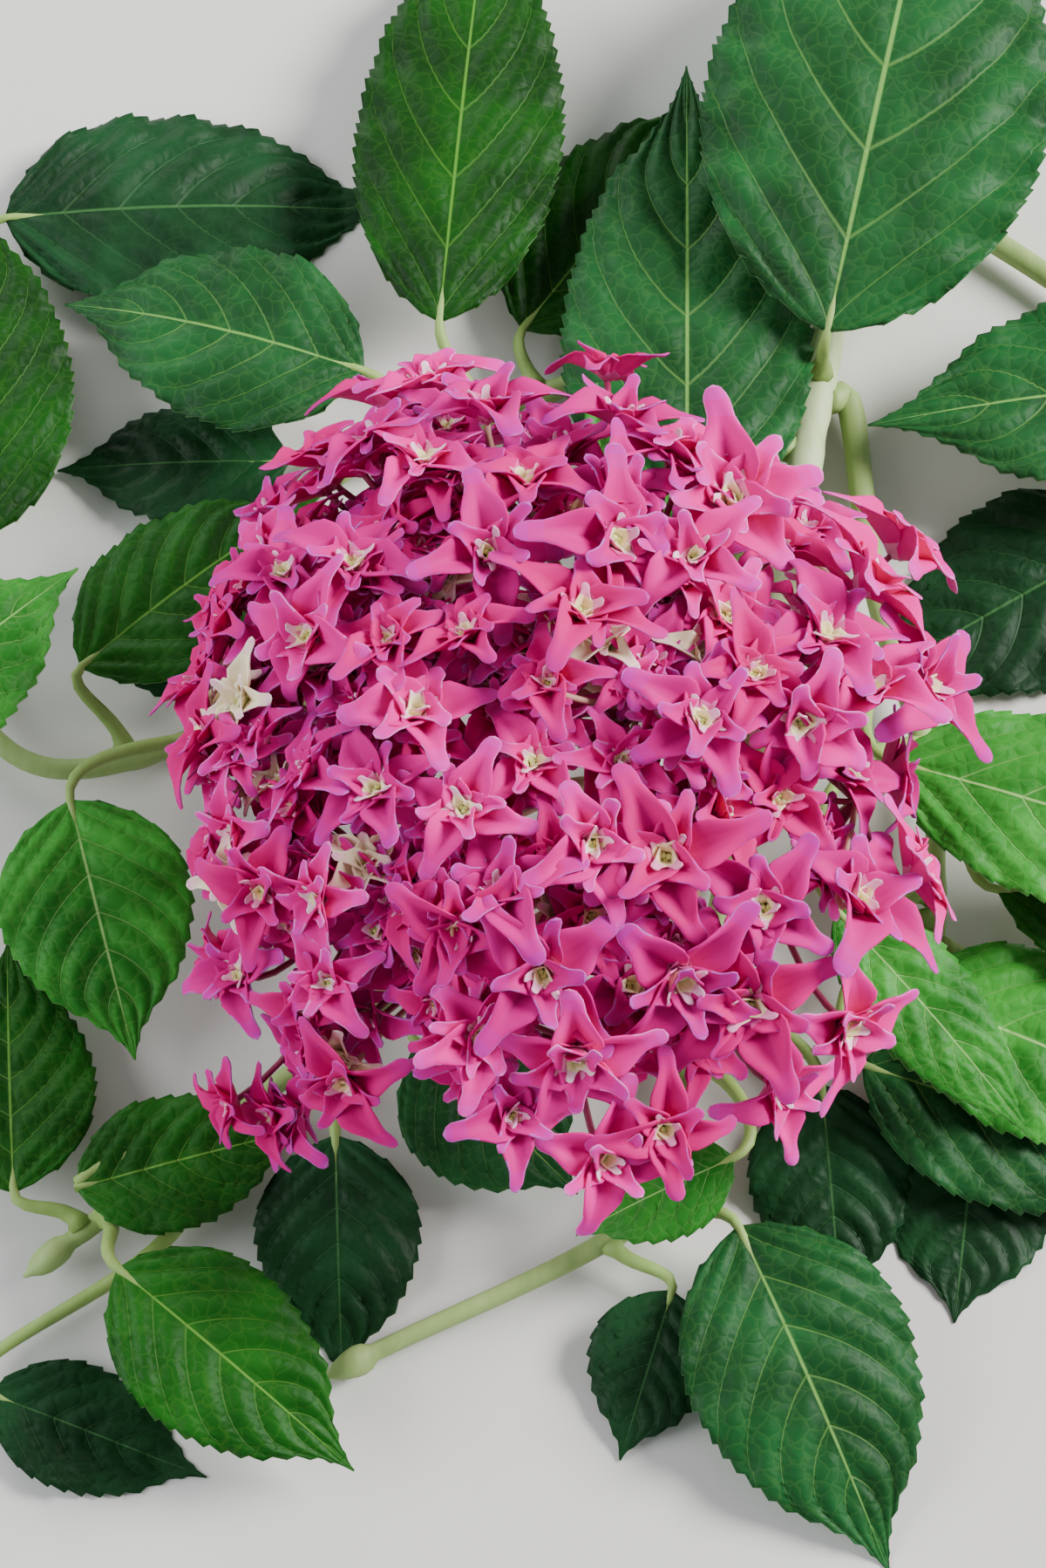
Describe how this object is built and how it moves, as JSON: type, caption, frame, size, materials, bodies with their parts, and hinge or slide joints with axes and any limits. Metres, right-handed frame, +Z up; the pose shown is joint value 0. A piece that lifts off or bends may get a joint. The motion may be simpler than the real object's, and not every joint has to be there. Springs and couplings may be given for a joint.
{
  "type": "hydrangea flowering branch",
  "caption": "Cut flowering hydrangea branch lying down: a pink mophead of double, star-shaped florets on a green stem, over leafy side shoots.",
  "frame": {"origin": "on the surface that the branch lies on, under the middle of its bounding box", "axes": "+Z up from the surface, +Y towards the cut end of the main stem, +X to the right as the bloom is seen from above with +Y away"},
  "size_m": [0.3787, 0.4768, 0.127],
  "materials": {
    "stem": "smooth pale green young bark",
    "shoot": "satin green shoot",
    "leaf": "satin veined leaf",
    "sepal": "soft petal"
  },
  "bodies": {
    "root": {"main_stem": "stem", "upper_left_shoot": "shoot", "upper_right_shoot": "shoot", "left_shoot": "shoot", "right_shoot": "shoot", "lower_left_shoot": "shoot", "lower_shoot": "shoot", "leaf_top_right": "leaf", "leaf_centre_right": "leaf", "leaf_top_centre": "leaf", "leaf_top_behind": "leaf", "leaf_upper_left": "leaf", "leaf_under_upper_left": "leaf", "leaf_far_upper_left": "leaf", "leaf_far_left": "leaf", "leaf_left": "leaf", "leaf_left_low": "leaf", "leaf_left_small": "leaf", "leaf_left_edge": "leaf", "leaf_right_edge": "leaf", "leaf_right_behind": "leaf", "leaf_right_upper": "leaf", "leaf_right_middle": "leaf", "leaf_right_lower": "leaf", "leaf_right_point": "leaf", "leaf_right_broad": "leaf", "leaf_lower_right_dark": "leaf", "leaf_lower_right_back": "leaf", "leaf_bottom_right": "leaf", "leaf_bottom_middle": "leaf", "leaf_bottom_young": "leaf", "leaf_under_bloom": "leaf", "leaf_bottom_back": "leaf", "leaf_lower_left": "leaf", "leaf_lower_left_upper": "leaf", "leaf_left_upright": "leaf", "leaf_corner": "leaf", "leaf_young_top": "leaf", "leaf_young_tip": "leaf", "bloom": "sepal"}
  },
  "joints": []
}
